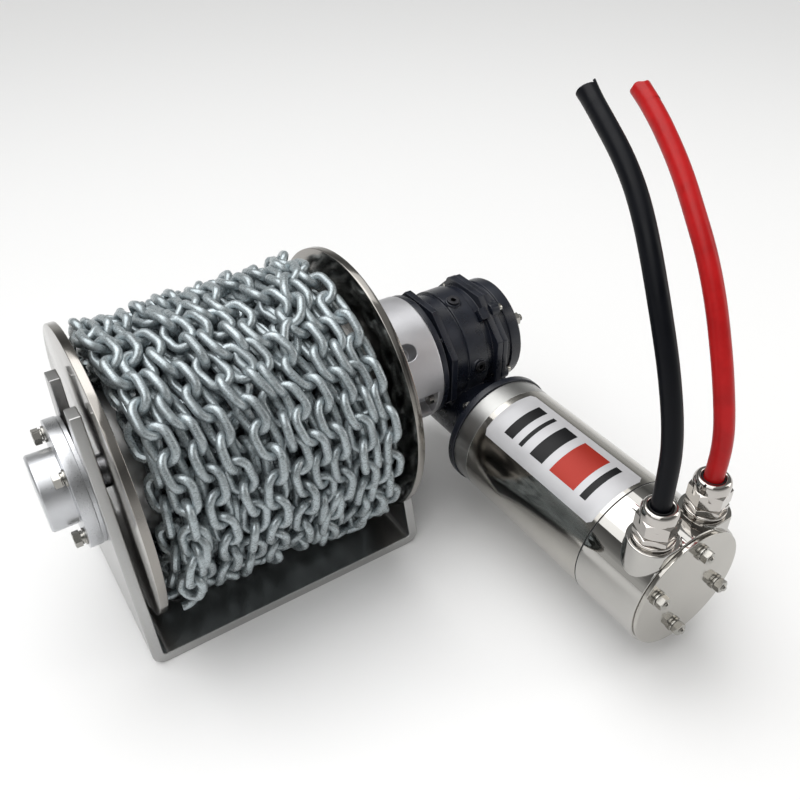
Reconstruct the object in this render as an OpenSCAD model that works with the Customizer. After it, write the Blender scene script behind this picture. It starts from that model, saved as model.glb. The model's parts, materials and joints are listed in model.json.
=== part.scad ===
// Drum anchor winch with a worm gearbox, a direct-current motor and a full drum of chain.
// X runs along the drum's axis towards the gearbox, the motor points along -Y, and Z is up.
// The origin is the centre of the base's bottom face. Lengths are millimetres.

/* [Drum] */
// Radius of the two drum flanges
flange_r = 110; // [104:1:112]
// Thickness of each drum flange
flange_t = 6; // [5:0.5:7]
// Width between the flanges' inner faces
drum_w = 194; // [186:1:196]
// Outer radius of the drum's tube
tube_r = 57; // [50:1:70]
// Outer radius of the wound chain
chain_r = 105; // [96:1:107]
// Wraps of chain side by side
wraps = 10; // [8:1:11]
// Radius of the drum's shaft
shaft_r = 12.5; // [12:0.1:12.5]

/* [Frame] */
// Height of the drum's axis above the base's bottom face
axis_h = 124; // [122:1:128]
// Outer width over the side plates
frame_w = 230; // [228:1:230]
// Depth of the base
base_d = 164; // [150:1:170]
// Thickness of the bent plate
plate_t = 8; // [6:0.5:8]
// Height of the side plates
side_h = 197; // [192:1:205]
// Outer radius of the bends
bend_r = 11; // [10:0.5:14]
// Width of the open-top slot in each side plate
slot_w = 36; // [30:1:40]
// Distance between the base bolts along X
bolt_span_x = 160; // [140:1:180]
// Distance between the base bolts along Y
bolt_span_y = 70; // [60:1:90]

/* [Bearing housing] */
// Radius of the housing's flange
housing_r = 48; // [46:0.5:50]
// Radius of the housing's cap
cap_r = 28.5; // [28:0.5:30]
// Radius of the bolt circle
housing_bolt_r = 38.5; // [38:0.5:40]

/* [Gearbox] */
// Radius of the round adapter
adapter_r = 53; // [52:0.5:55]
// Radius of the gearbox barrel
barrel_r = 46; // [45:0.5:48]

/* [Motor] */
// Radius of the motor tube
motor_r = 48.5; // [47:0.5:50]
// Motor tube's near end along -Y
tube_start = 92.4; // [92:0.1:93]
// Motor tube's far end along -Y
tube_end = 221.6; // [221:0.1:223]
// Far end of the end cover along -Y
cover_end = 276; // [275:0.5:278]
// Distance between the two cable glands
gland_gap = 49; // [46:1:52]
// Diameter of each cable
cable_d = 13; // [12:0.5:13]

/* [Hidden] */
$fn = 96;

fit = 0.05;         // radial clearance of a shaft or spigot in its hole
gap = 0.3;          // clearance between pieces that turn past each other
eps = 1;            // how far a cutter runs past the face it cuts

// Frame planes along X
plate_out = frame_w / 2;
plate_in = plate_out - plate_t;
flange_in = drum_w / 2;
flange_out = flange_in + flange_t;
taper_bottom = base_d / 2;
taper_top = 37.6;
taper_end_z = 180;
base_hole_r = 4;
side_hole_r = 3.1;
slot_r = slot_w / 2;

// Bearing housing planes along X, measured outwards from the side plate
ring_t = 3;
housing_flange_x = 12;
cap_x = 31;
cap_wall = 4;
cap_chamfer = 1.5;
housing_bore_r = 20;
bolt_r = 3;
bolt_flats = 10.5;
washer_t = 1.6;
spring_t = 2;
head_t = 5;

// Gearbox planes along X
adapter_x = 161;
barrel_x = 176;
band_x = 190;
band_w = 19;
joint_x = 222;
cover_x = 247;
motor_x = 204;
centre_d = 50;
chamber_x = 189;
neck_r = 44;
lug_angle = 128;
octagon_half = 50;
octagon_cut = 30;
octagon_t = 6;
cover_seat_r = 54;
motor_z = axis_h - centre_d;
notch_angle = 138;
adapter_bolt_r = 44;
adapter_web = 7;
adapter_screw_r = 46.5;
adapter_head_x = plate_out + 40;
adapter_bore_r = 36;
pocket_bottom_r = 41;
notch_r = 7;
screw_r = 2.5;
screw_hole_r = 2.6;
pocket_angles = [18, 198, 288];
stud_r = 37.2;
stud_angle = 53.7;
cover_screw_r = 47;
cover_screw_angles = [54, 126, 198, 342];
cover_shank_r = 2.2;
cover_hole_r = 2.3;
lid_r = 45;
lid_waist_r = 43.5;
cavity_r = 41.5;
seal_r = 24;
tunnel_r = 30;
tunnel_back = 58;
worm_chamber_r = 17;
plug_r = 4;
plug_boss_r = 6.5;
// Oil plugs: [place along X, angle about the drum's axis]
plug_places = [[197, 104], [199, 176], [199, 4]];

// Keys on the drum's shaft: [start along X, length]
key_w = 8;
key_depth = 3.5;
hub_t = 20;
hub_r = 28;
key_places = [[-flange_in, hub_t], [flange_in - hub_t, hub_t], [motor_x - 20, 40]];

// Bearings: [bore radius, outer radius, width]
drum_bearing = [12.5, 23.5, 12];
wheel_bearing = [17.5, 31, 12];
worm_bearing = [8.5, 20, 12];
motor_front_bearing = [7.5, 17.5, 11];
motor_rear_bearing = [6, 16, 10];
drum_bearing_x = -(plate_out + 23);
wheel_bearing_x = [176, 220];
worm_bearing_y = [54, -42];
motor_bearing_y = [-80, -228];

// Worm and wheel: a single-start worm drives the wheel
wheel_teeth = 30;
gear_module = 2.5;
pitch = PI * gear_module;
wheel_pitch_r = wheel_teeth * gear_module / 2;
worm_pitch_r = centre_d - wheel_pitch_r;
addendum = 2;
dedendum = 3;
flank = tan(20);
wheel_half_tooth = 1.5;
worm_half_thread = 1.23;
worm_len = 36;

// Motor planes along -Y
flange_y = 69.5;
ring_y = 75.4;
shell_t = 3.5;
armature_r = 37;
flange_bolt_r = 43;
commutator_r = 17;
core_y = 112;
core_len = 86;
magnet_y = 108;
magnet_len = 95;
winding_y = [104, 198.05];
commutator_y = 206.2;
brush_y = 208;
brush_plate_y = 217.4;
end_plate_t = 3;
end_stud_r = 34;
end_stud_angles = [82.5, 159, 262.5, 339];
end_washer_t = 2.2;
end_nut_t = 5;
gland_y = 260;
gland_z = 104;
gland_nut_z = 131;
gland_seal_z = 138;
gland_flats = 25;
gland_collar_r = 14;
gland_thread_r = 9.5;
boss_r = 17.5;
boss_top = 122;
gland_x = [motor_x - gland_gap / 2, motor_x + gland_gap / 2];

// Cable routes: centre points, from inside each gland to the free end
black_route = [
    [179.5, -260, 138], [179.5, -260, 152], [180, -259, 172], [180, -258, 192],
    [180, -254, 211], [179, -249, 230], [179, -242, 249], [180, -233, 267],
    [182, -223, 284], [186, -211, 300], [191, -198, 314], [196, -184, 327],
    [201, -168, 338], [206, -151, 347], [211, -133, 355], [216, -116, 363]
];
red_route = [
    [228.5, -260, 138], [228.5, -260, 152], [229, -260, 171], [229, -257, 190],
    [228, -252, 209], [228, -246, 227], [229, -238, 245], [231, -229, 262],
    [233, -219, 278], [236, -207, 293], [240, -193, 306], [245, -179, 318],
    [250, -164, 329], [255, -148, 339], [260, -132, 348], [264, -115, 356]
];
cable_sides = 12;

// ---------------------------------------------------------------- helpers

// Local Z becomes X, with local angles running from +Y to +Z about the drum's axis.
module on_drum_axis(x = 0) {
    translate([x, 0, axis_h]) rotate([90, 0, 90]) children();
}

// Local Z becomes -Y, with local angles running from +X to +Z about the motor's axis.
module on_motor_axis(y = 0) {
    translate([motor_x, -y, motor_z]) rotate([90, 0, 0]) children();
}

module tube(r_out, r_in, h) {
    difference() {
        cylinder(r = r_out, h = h);
        translate([0, 0, -eps]) cylinder(r = r_in, h = h + 2 * eps);
    }
}

module around(r, angles) {
    for (a = angles) rotate(a) translate([r, 0, 0]) children();
}

function quarter_turns(a) = [for (k = [0:3]) a + 90 * k];

module hex_prism(flats, h) {
    cylinder(r = flats / 2 / cos(30), h = h, $fn = 6);
}

module split_ring(r_out, r_in, h) {
    difference() {
        tube(r_out, r_in, h);
        translate([r_in - eps, -0.4, -eps]) cube([r_out, 0.8, h + 2 * eps]);
    }
}

// Ball bearings: b is [bore radius, outer radius, width]
function ball_circle(b) = (b[0] + b[1]) / 2;
function ball_r(b) = (b[1] - b[0]) * 0.3;
function land(b) = ball_r(b) * 0.7;

module outer_race(b) {
    rotate_extrude() difference() {
        translate([ball_circle(b) + land(b), 0])
            square([b[1] - ball_circle(b) - land(b), b[2]]);
        translate([ball_circle(b), b[2] / 2]) circle(r = ball_r(b) + gap);
    }
}

module inner_race(b) {
    rotate_extrude() difference() {
        translate([b[0] + fit, 0]) square([ball_circle(b) - land(b) - b[0] - fit, b[2]]);
        translate([ball_circle(b), b[2] / 2]) circle(r = ball_r(b) + gap);
    }
}

module balls(b, count = 9) {
    around(ball_circle(b), [for (k = [0:count - 1]) 360 * k / count])
        translate([0, 0, b[2] / 2]) sphere(r = ball_r(b), $fn = 32);
}

// ---------------------------------------------------------------- frame

module rounded_bottom(w, h, r) {
    translate([-w / 2, r]) square([w, h - r]);
    translate([-w / 2 + r, 0]) square([w - 2 * r, h]);
    for (s = [-1, 1]) translate([s * (w / 2 - r), r]) circle(r = r);
}

module side_outline() {
    polygon([
        [-taper_bottom, 0], [taper_bottom, 0], [taper_bottom, bend_r],
        [taper_top, taper_end_z], [taper_top - 6, side_h],
        [-taper_top + 6, side_h], [-taper_top, taper_end_z], [-taper_bottom, bend_r]
    ]);
}

module u_frame() {
    color("gainsboro") difference() {
        intersection() {
            translate([0, base_d / 2, 0]) rotate([90, 0, 0]) linear_extrude(base_d)
                difference() {
                    rounded_bottom(frame_w, side_h, bend_r);
                    translate([0, plate_t])
                        rounded_bottom(frame_w - 2 * plate_t, side_h, bend_r - plate_t);
                }
            translate([-frame_w / 2 - eps, 0, 0]) rotate([90, 0, 90])
                linear_extrude(frame_w + 2 * eps) side_outline();
        }
        // shaft slots, open at the top
        on_drum_axis(-frame_w) cylinder(r = slot_r, h = 2 * frame_w);
        translate([-frame_w, -slot_r, axis_h]) cube([2 * frame_w, slot_w, side_h]);
        // threaded holes for the bearing housing and the gearbox adapter
        on_drum_axis(-plate_out - eps) around(housing_bolt_r, quarter_turns(45))
            cylinder(r = side_hole_r, h = plate_t + 2 * eps);
        on_drum_axis(plate_in - eps) around(adapter_bolt_r, quarter_turns(notch_angle))
            cylinder(r = side_hole_r, h = plate_t + 2 * eps);
        // threaded base holes
        for (x = [-1, 1], y = [-1, 1])
            translate([x * bolt_span_x / 2, y * bolt_span_y / 2, -eps])
                cylinder(r = base_hole_r, h = plate_t + 2 * eps);
    }
}

// ---------------------------------------------------------------- left bearing

module backing_ring() {
    color("darkgray") on_drum_axis(-plate_out - ring_t) difference() {
        tube(housing_r - 0.6, housing_bore_r, ring_t);
        translate([0, 0, -eps]) around(housing_bolt_r, quarter_turns(45))
            cylinder(r = bolt_r + 0.3, h = ring_t + 2 * eps);
    }
}

module bearing_housing() {
    bore_depth = cap_x - ring_t - cap_wall;
    color("lightgray") on_drum_axis(-plate_out - cap_x) difference() {
        union() {
            translate([0, 0, cap_x - housing_flange_x])
                cylinder(r = housing_r, h = housing_flange_x - ring_t);
            translate([0, 0, cap_chamfer])
                cylinder(r = cap_r, h = cap_x - ring_t - cap_chamfer);
            cylinder(r1 = cap_r - cap_chamfer, r2 = cap_r, h = cap_chamfer);
        }
        translate([0, 0, cap_wall]) cylinder(r = housing_bore_r, h = bore_depth + eps);
        translate([0, 0, cap_wall + 3]) cylinder(r = drum_bearing[1] + fit, h = bore_depth);
        translate([0, 0, cap_x - housing_flange_x - eps])
            around(housing_bolt_r, quarter_turns(45))
                cylinder(r = bolt_r + 0.3, h = housing_flange_x + 2 * eps);
    }
}

module housing_bolts() {
    stack = washer_t + spring_t;
    color("silver") on_drum_axis(-plate_out - housing_flange_x)
        around(housing_bolt_r, quarter_turns(45)) {
            translate([0, 0, -stack]) cylinder(r = bolt_r, h = stack + housing_flange_x + 7);
            translate([0, 0, -stack - head_t]) hex_prism(bolt_flats, head_t);
        }
}

module housing_spring_washers() {
    color("gray") on_drum_axis(-plate_out - housing_flange_x - washer_t - spring_t)
        around(housing_bolt_r, quarter_turns(45)) split_ring(5, bolt_r + 0.1, spring_t);
}

module housing_washers() {
    color("silver") on_drum_axis(-plate_out - housing_flange_x - washer_t)
        around(housing_bolt_r, quarter_turns(45)) tube(6.2, bolt_r + 0.2, washer_t);
}

module drum_bearing_outer_race() {
    color("slategray") on_drum_axis(drum_bearing_x) outer_race(drum_bearing);
}

module drum_bearing_balls() {
    color("silver") on_drum_axis(drum_bearing_x) balls(drum_bearing);
}

module drum_bearing_inner_race() {
    color("lightslategray") on_drum_axis(drum_bearing_x) inner_race(drum_bearing);
}

module drum_shaft_seal() {
    color("dimgray") on_drum_axis(-plate_out - 8) tube(drum_bearing[1], shaft_r + gap, 5);
}

// ---------------------------------------------------------------- gearbox shell

module sector(r, a0, a1) {
    polygon([[0, 0], for (k = [0:4]) let (a = a0 + (a1 - a0) * k / 4) r * [cos(a), sin(a)]]);
}

module gearbox_adapter() {
    notch_depth = 20;
    pocket_x = [22, 40];
    color("gainsboro") on_drum_axis(plate_out) difference() {
        union() {
            cylinder(r = adapter_r, h = adapter_x - plate_out - 1);
            translate([0, 0, adapter_x - plate_out - 1])
                cylinder(r1 = adapter_r, r2 = adapter_r - 1, h = 1);
        }
        translate([0, 0, -eps]) cylinder(r = 20, h = adapter_web + 2 * eps);
        translate([0, 0, adapter_web]) cylinder(r = adapter_bore_r, h = adapter_x - plate_out);
        // rounded notches over the bolts into the side plate
        around(adapter_bolt_r, quarter_turns(notch_angle)) {
            translate([0, 0, -eps]) cylinder(r = bolt_r + 0.3, h = adapter_web + 2 * eps);
            translate([-6, -notch_r, adapter_web])
                cube([30, 2 * notch_r, notch_depth - adapter_web]);
            translate([-6, 0, notch_depth]) rotate([0, 90, 0]) cylinder(r = notch_r, h = 30);
        }
        // wide pockets over the bolts into the gearbox
        for (a = pocket_angles) rotate(a)
            translate([0, 0, pocket_x[0]]) linear_extrude(pocket_x[1] - pocket_x[0])
                difference() {
                    sector(70, -15, 15);
                    circle(r = pocket_bottom_r);
                }
        around(adapter_screw_r, pocket_angles) translate([0, 0, 20])
            cylinder(r = screw_hole_r, h = 40);
    }
}

module adapter_bolts() {
    color("silver") on_drum_axis(plate_in + 1) {
        around(adapter_bolt_r, quarter_turns(notch_angle)) {
            cylinder(r = bolt_r, h = plate_t + adapter_web - 1);
            translate([0, 0, plate_t + adapter_web - 1]) cylinder(r = 5, h = 6);
        }
    }
    color("silver") on_drum_axis(adapter_head_x)
        around(adapter_screw_r, pocket_angles) {
            cylinder(r = screw_r, h = 10);
            translate([0, 0, -5]) cylinder(r = 4.2, h = 5);
        }
}

// Outline of the gearbox's two square flanges, with their corners cut off.
module octagon() {
    a = octagon_half;
    b = octagon_half - octagon_cut;
    polygon([[b, a], [-b, a], [-a, b], [-a, -b], [-b, -a], [b, -a], [a, -b], [a, b]]);
}

module gearbox_outside() {
    on_drum_axis(adapter_x) {
        cylinder(r = adapter_r - 0.5, h = 5);
        cylinder(r = neck_r, h = barrel_x - adapter_x);
        translate([0, 0, barrel_x - octagon_t - adapter_x]) linear_extrude(octagon_t) octagon();
        translate([0, 0, barrel_x - adapter_x]) cylinder(r = barrel_r, h = joint_x - barrel_x);
        // raised band over the wheel
        translate([0, 0, band_x - adapter_x]) cylinder(r = barrel_r + 2, h = band_w);
        translate([0, 0, joint_x - octagon_t - adapter_x]) linear_extrude(octagon_t) octagon();
        // lug beside the cover
        rotate(lug_angle) translate([barrel_r - 2, -5, joint_x - 12 - adapter_x]) cube([8, 10, 8]);
        // short stiffeners against the adapter
        around(0, quarter_turns(notch_angle)) translate([38, -1.5, 0])
            cube([10, 3, barrel_x - octagon_t + 1 - adapter_x]);
    }
    // worm tunnel and the block that joins it to the barrel
    on_motor_axis(-tunnel_back) cylinder(r = tunnel_r, h = tunnel_back + flange_y);
    translate([barrel_x + 2, -40, motor_z]) cube([joint_x - barrel_x - 10, 80, centre_d]);
    for (plug = plug_places) on_drum_axis(plug[0]) rotate(plug[1])
        translate([barrel_r - 6, 0, 0]) rotate([0, 90, 0]) cylinder(r = plug_boss_r, h = 9.5);
}

module gearbox_housing() {
    color([0.1, 0.1, 0.11]) difference() {
        gearbox_outside();
        // wheel chamber, open towards the cover
        on_drum_axis(chamber_x) cylinder(r = cavity_r, h = 60);
        on_drum_axis(adapter_x + 10) cylinder(r = wheel_bearing[1] + fit, h = 40);
        on_drum_axis(adapter_x - eps) cylinder(r = seal_r, h = 30);
        // worm chamber and its two bearing seats
        on_motor_axis(-60) cylinder(r = worm_chamber_r, h = 130);
        on_motor_axis(-60) cylinder(r = worm_bearing[1] + fit, h = 18);
        on_motor_axis(42) cylinder(r = worm_bearing[1] + fit, h = 40);
        on_drum_axis(adapter_x - eps) around(adapter_screw_r, pocket_angles)
            cylinder(r = screw_hole_r, h = 5);
        // threads of the oil plugs
        for (plug = plug_places) on_drum_axis(plug[0]) rotate(plug[1])
            translate([cavity_r - 2, 0, 0]) rotate([0, 90, 0])
                cylinder(r = plug_r + fit, h = 20);
        // room for the cover beside the worm tunnel
        on_drum_axis(joint_x) cylinder(r = cover_seat_r + fit, h = 60);
        // through holes of the cover screws
        on_drum_axis(joint_x - 6 - eps) around(cover_screw_r, cover_screw_angles)
            cylinder(r = cover_hole_r, h = 20);
    }
}

module gearbox_cover() {
    color([0.1, 0.1, 0.11]) on_drum_axis(joint_x) difference() {
        union() {
            linear_extrude(5) octagon();
            cylinder(r = lid_waist_r, h = 16);
            translate([0, 0, 14]) cylinder(r = lid_r, h = cover_x - joint_x - 15);
            translate([0, 0, cover_x - joint_x - 1]) cylinder(r1 = lid_r, r2 = lid_r - 1, h = 1);
            around(cover_screw_r, cover_screw_angles) cylinder(r = 6, h = 8);
            translate([0, 0, -3]) cylinder(r = cavity_r - fit, h = 4);
        }
        translate([0, 0, -4]) cylinder(r = wheel_bearing[1] + fit, h = 14);
        translate([0, 0, -4]) cylinder(r = 22, h = 24);
        translate([0, 0, 6]) around(stud_r, quarter_turns(stud_angle))
            cylinder(r = bolt_r + fit, h = 30);
        translate([0, 0, -eps]) around(cover_screw_r, cover_screw_angles)
            cylinder(r = cover_hole_r, h = 12);
    }
}

module gearbox_studs() {
    color("silver") on_drum_axis(joint_x + 7) around(stud_r, quarter_turns(stud_angle))
        cylinder(r = bolt_r, h = 27);
}

module gearbox_nuts() {
    color("silver") on_drum_axis(cover_x) around(stud_r, quarter_turns(stud_angle))
        difference() {
            hex_prism(10, 5);
            translate([0, 0, -eps]) cylinder(r = bolt_r + fit, h = 5 + 2 * eps);
        }
}

module cover_screws() {
    color("silver") on_drum_axis(joint_x - 6) around(cover_screw_r, cover_screw_angles) {
        cylinder(r = cover_shank_r, h = 14);
        translate([0, 0, 14]) cylinder(r = 3.2, h = 4.5);
    }
}

module oil_plugs() {
    color("dimgray") for (plug = plug_places) on_drum_axis(plug[0]) rotate(plug[1])
        translate([barrel_r - 4, 0, 0]) rotate([0, 90, 0]) difference() {
            union() {
                cylinder(r = plug_r, h = 7.5);
                translate([0, 0, 7.5]) cylinder(r = 5.2, h = 1.8);
            }
            translate([0, 0, 5]) hex_prism(4, 6);
        }
}

module wheel_bearing_outer_races() {
    color("slategray") for (x = wheel_bearing_x) on_drum_axis(x) outer_race(wheel_bearing);
}

module wheel_bearing_balls() {
    color("silver") for (x = wheel_bearing_x) on_drum_axis(x) balls(wheel_bearing, 11);
}

module wheel_bearing_inner_races() {
    color("lightslategray") for (x = wheel_bearing_x) on_drum_axis(x) inner_race(wheel_bearing);
}

module output_seal() {
    color("dimgray") on_drum_axis(adapter_x + 2) tube(seal_r - fit, wheel_bearing[0] + gap, 7);
}

module worm_end_cap() {
    color([0.14, 0.14, 0.15]) on_motor_axis(-tunnel_back - 6) {
        cylinder(r = tunnel_r, h = 6);
        translate([0, 0, 6]) tube(worm_bearing[1] - fit, 14, 4);
    }
}

module worm_bearing_outer_races() {
    color("slategray") for (y = worm_bearing_y) on_motor_axis(-y) outer_race(worm_bearing);
}

module worm_bearing_balls() {
    color("silver") for (y = worm_bearing_y) on_motor_axis(-y) balls(worm_bearing);
}

module worm_bearing_inner_races() {
    color("lightslategray") for (y = worm_bearing_y) on_motor_axis(-y) inner_race(worm_bearing);
}

// ---------------------------------------------------------------- worm drive

// A tooth's half width at radius r, from its half width at the pitch radius
function half_width(r, pitch_r, half_tooth) = half_tooth + (pitch_r - r) * flank;

function on_circle(r, arc) = [r * cos(arc / r * 180 / PI), r * sin(arc / r * 180 / PI)];

function turned(p, a) = [p[0] * cos(a) - p[1] * sin(a), p[0] * sin(a) + p[1] * cos(a)];

module wheel_outline() {
    root = wheel_pitch_r - dedendum;
    tip = wheel_pitch_r + addendum;
    root_w = half_width(root, wheel_pitch_r, wheel_half_tooth);
    tip_w = half_width(tip, wheel_pitch_r, wheel_half_tooth);
    step = 360 / wheel_teeth;
    polygon([for (k = [0:wheel_teeth - 1]) each [
        turned(on_circle(root, -root_w), (k + 0.5) * step),
        turned(on_circle(tip, -tip_w), (k + 0.5) * step),
        turned(on_circle(tip, tip_w), (k + 0.5) * step),
        turned(on_circle(root, root_w), (k + 0.5) * step)
    ]]);
}

module worm_wheel() {
    face = 12;
    color("peru") on_drum_axis(motor_x) rotate(-90) difference() {
        union() {
            translate([0, 0, -face / 2]) linear_extrude(face) wheel_outline();
            translate([0, 0, -15.5]) cylinder(r = 22, h = 31);
            translate([0, 0, -27.5]) cylinder(r = wheel_bearing[0], h = 55);
        }
        translate([0, 0, -40]) cylinder(r = shaft_r + fit, h = 80);
        // the keyway points up once the wheel is turned
        translate([-shaft_r - key_depth, -key_w / 2 - fit, -40])
            cube([5.5, key_w + 2 * fit, 80]);
    }
}

module worm_outline() {
    root = worm_pitch_r - dedendum;
    tip = worm_pitch_r + addendum;
    tip_w = half_width(tip, worm_pitch_r, worm_half_thread);
    root_w = half_width(root, worm_pitch_r, worm_half_thread);
    polygon([for (k = [0:23]) let (
        a = 15 * k,
        s = min(a, 360 - a) / 360 * pitch,
        t = max(0, min(1, (s - tip_w) / (root_w - tip_w)))
    ) (tip + (root - tip) * t) * [cos(a), sin(a)]]);
}

module worm_shaft() {
    turn = 360 * worm_len / pitch;
    color("lightsteelblue") {
        translate([motor_x, 0, motor_z]) rotate([-90, 0, 0])
            linear_extrude(worm_len, center = true, twist = -turn, slices = 72, $fn = 24)
                rotate(-90 - turn / 2) worm_outline();
        on_motor_axis(worm_len / 2) worm_journal(73 - worm_len / 2);
        on_motor_axis(-worm_len / 2) mirror([0, 0, 1]) worm_journal(55 - worm_len / 2);
    }
}

module worm_journal(h) {
    cylinder(r = worm_bearing[0], h = h);
    cylinder(r = 12, h = 42 - worm_len / 2 - 0.2);
}

module drive_coupling() {
    color("dimgray") on_motor_axis(60) difference() {
        cylinder(r = 13, h = 18);
        translate([0, 0, -eps]) cylinder(r = worm_bearing[0] + fit, h = 13 + eps);
        translate([0, 0, 12]) cylinder(r = motor_front_bearing[0] + fit, h = 8);
    }
}

// ---------------------------------------------------------------- motor

module motor_flange() {
    color([0.1, 0.1, 0.11]) on_motor_axis(flange_y) difference() {
        union() {
            cylinder(r = motor_r + 1.5, h = ring_y - flange_y);
            translate([0, 0, -5]) cylinder(r = worm_bearing[1] - fit, h = 5);
        }
        translate([0, 0, -9]) cylinder(r = 15, h = 30);
        translate([0, 0, -eps]) around(flange_bolt_r, quarter_turns(42))
            cylinder(r = screw_hole_r, h = ring_y - flange_y + 2 * eps);
    }
}

module flange_bolts() {
    color("silver") on_motor_axis(flange_y - 7) around(flange_bolt_r, quarter_turns(42)) {
        cylinder(r = screw_r, h = 7 + ring_y - flange_y + 8);
        translate([0, 0, 2.5]) hex_prism(8, 4.5);
    }
}

module motor_ring() {
    color("darkgray") on_motor_axis(ring_y) difference() {
        cylinder(r = motor_r, h = tube_start - ring_y);
        translate([0, 0, -eps]) cylinder(r = 14, h = 40);
        translate([0, 0, 4.6]) cylinder(r = motor_front_bearing[1] + fit, h = 40);
        translate([0, 0, 12]) cylinder(r = 42, h = 40);
        translate([0, 0, -eps]) around(flange_bolt_r, quarter_turns(42))
            cylinder(r = screw_hole_r, h = 10 + eps);
    }
}

module motor_tube() {
    color("silver") on_motor_axis(tube_start)
        tube(motor_r, motor_r - shell_t, tube_end - tube_start);
}

module magnets() {
    color("dimgray") on_motor_axis(magnet_y) linear_extrude(magnet_len)
        for (a = quarter_turns(45)) rotate(a) intersection() {
            difference() {
                circle(r = motor_r - shell_t - fit);
                circle(r = armature_r + 1);
            }
            sector(80, -36, 36);
        }
}

module motor_bearing_outer_races() {
    color("slategray") {
        on_motor_axis(-motor_bearing_y[0]) outer_race(motor_front_bearing);
        on_motor_axis(-motor_bearing_y[1]) outer_race(motor_rear_bearing);
    }
}

module motor_bearing_balls() {
    color("silver") {
        on_motor_axis(-motor_bearing_y[0]) balls(motor_front_bearing);
        on_motor_axis(-motor_bearing_y[1]) balls(motor_rear_bearing);
    }
}

module motor_bearing_inner_races() {
    color("lightslategray") {
        on_motor_axis(-motor_bearing_y[0]) inner_race(motor_front_bearing);
        on_motor_axis(-motor_bearing_y[1]) inner_race(motor_rear_bearing);
    }
}

module motor_shaft() {
    color("silver") on_motor_axis(73.2) {
        cylinder(r = motor_front_bearing[0], h = 148);
        cylinder(r = motor_rear_bearing[0], h = 166);
    }
}

module armature_core() {
    color("gray") on_motor_axis(core_y) linear_extrude(core_len) difference() {
        circle(r = armature_r);
        circle(r = motor_front_bearing[0] + fit);
        for (k = [0:15]) rotate(22.5 * k) translate([armature_r - 9, -1.5]) square([20, 3]);
    }
}

module armature_windings() {
    color("chocolate") for (y = winding_y) on_motor_axis(y)
        tube(armature_r - 3, 14, 7.9);
}

module commutator() {
    color("darkgoldenrod") on_motor_axis(commutator_y)
        tube(commutator_r, motor_front_bearing[0] + fit, 14);
}

module brush_plate() {
    color("saddlebrown") on_motor_axis(brush_plate_y) difference() {
        tube(motor_r - shell_t - fit, commutator_r + 6, 4);
        for (a = quarter_turns(45)) rotate(a) translate([20, -4.5, -eps]) cube([18, 9, 3]);
    }
}

module brushes() {
    color("black") on_motor_axis(brush_y) around(commutator_r + gap, quarter_turns(45))
        translate([0, -4, 0]) cube([14, 8, 9.4]);
}

module gland_bosses(r, z0) {
    for (x = gland_x) translate([x, -gland_y, z0]) cylinder(r = r, h = boss_top - z0);
}

module end_cover() {
    depth = cover_end - tube_end;
    color("silver") difference() {
        union() {
            on_motor_axis(tube_end) cylinder(r = motor_r + 0.5, h = depth);
            gland_bosses(boss_r, motor_z);
            // web between the two bosses, flush with the end face
            translate([gland_x[0], -gland_y - 16, motor_z])
                cube([gland_gap, 7, boss_top - motor_z - 1]);
        }
        on_motor_axis(240) cylinder(r = motor_r - 3, h = 60);
        on_motor_axis(tube_end - eps) cylinder(r = 12, h = 30);
        on_motor_axis(228) cylinder(r = motor_rear_bearing[1] + fit, h = 30);
        on_motor_axis(tube_end - eps) cylinder(r = 40, h = 4 + eps);
        gland_bores();
        translate([motor_x - 100, -cover_end - 20, 0]) cube([200, 20, 200]);
    }
}

module gland_bores() {
    for (x = gland_x) translate([x, -gland_y, motor_z]) cylinder(r = 9.6, h = 100);
}

module end_plate() {
    color("gainsboro") on_motor_axis(cover_end) difference() {
        cylinder(r = motor_r - 1, h = end_plate_t);
        translate([0, 0, -eps]) around(end_stud_r, end_stud_angles)
            cylinder(r = 2.7, h = end_plate_t + 2 * eps);
    }
}

module end_studs() {
    color("silver") on_motor_axis(246) around(end_stud_r, end_stud_angles)
        cylinder(r = screw_r, h = 42);
}

module end_washers() {
    color("silver") on_motor_axis(cover_end + end_plate_t)
        around(end_stud_r, end_stud_angles) tube(5.8, 2.7, end_washer_t);
}

module end_nuts() {
    color("silver") on_motor_axis(cover_end + end_plate_t + end_washer_t)
        around(end_stud_r, end_stud_angles) difference() {
            hex_prism(9, end_nut_t);
            translate([0, 0, -eps]) cylinder(r = screw_r + fit, h = 8);
        }
}

// ---------------------------------------------------------------- glands and cables

module at_glands(z) {
    for (x = gland_x) translate([x, -gland_y, z]) children();
}

module gland_bodies() {
    color("silver") at_glands(gland_z) difference() {
        union() {
            cylinder(r = gland_thread_r, h = 34);
            translate([0, 0, boss_top - gland_z]) cylinder(r = gland_collar_r, h = 2);
            translate([0, 0, boss_top + 2 - gland_z]) hex_prism(gland_flats, 6.5);
        }
        translate([0, 0, -eps]) cylinder(r = 5.5, h = 40);
    }
}

module gland_nuts() {
    color("silver") at_glands(gland_nut_z) difference() {
        intersection() {
            hex_prism(gland_flats, 20);
            union() {
                cylinder(r = gland_collar_r, h = 14);
                translate([0, 0, 14]) cylinder(r1 = gland_collar_r, r2 = 11, h = 6);
            }
        }
        translate([0, 0, -eps]) cylinder(r = gland_thread_r + fit, h = 15 + eps);
        cylinder(r = 7.8, h = 30);
    }
}

module gland_seals() {
    color("black") at_glands(gland_seal_z) tube(gland_thread_r, cable_d / 2 + fit, 8);
}

function unit(v) = v / norm(v);

function tangent(route, i) =
    unit(route[min(i + 1, len(route) - 1)] - route[max(i - 1, 0)]);

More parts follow.
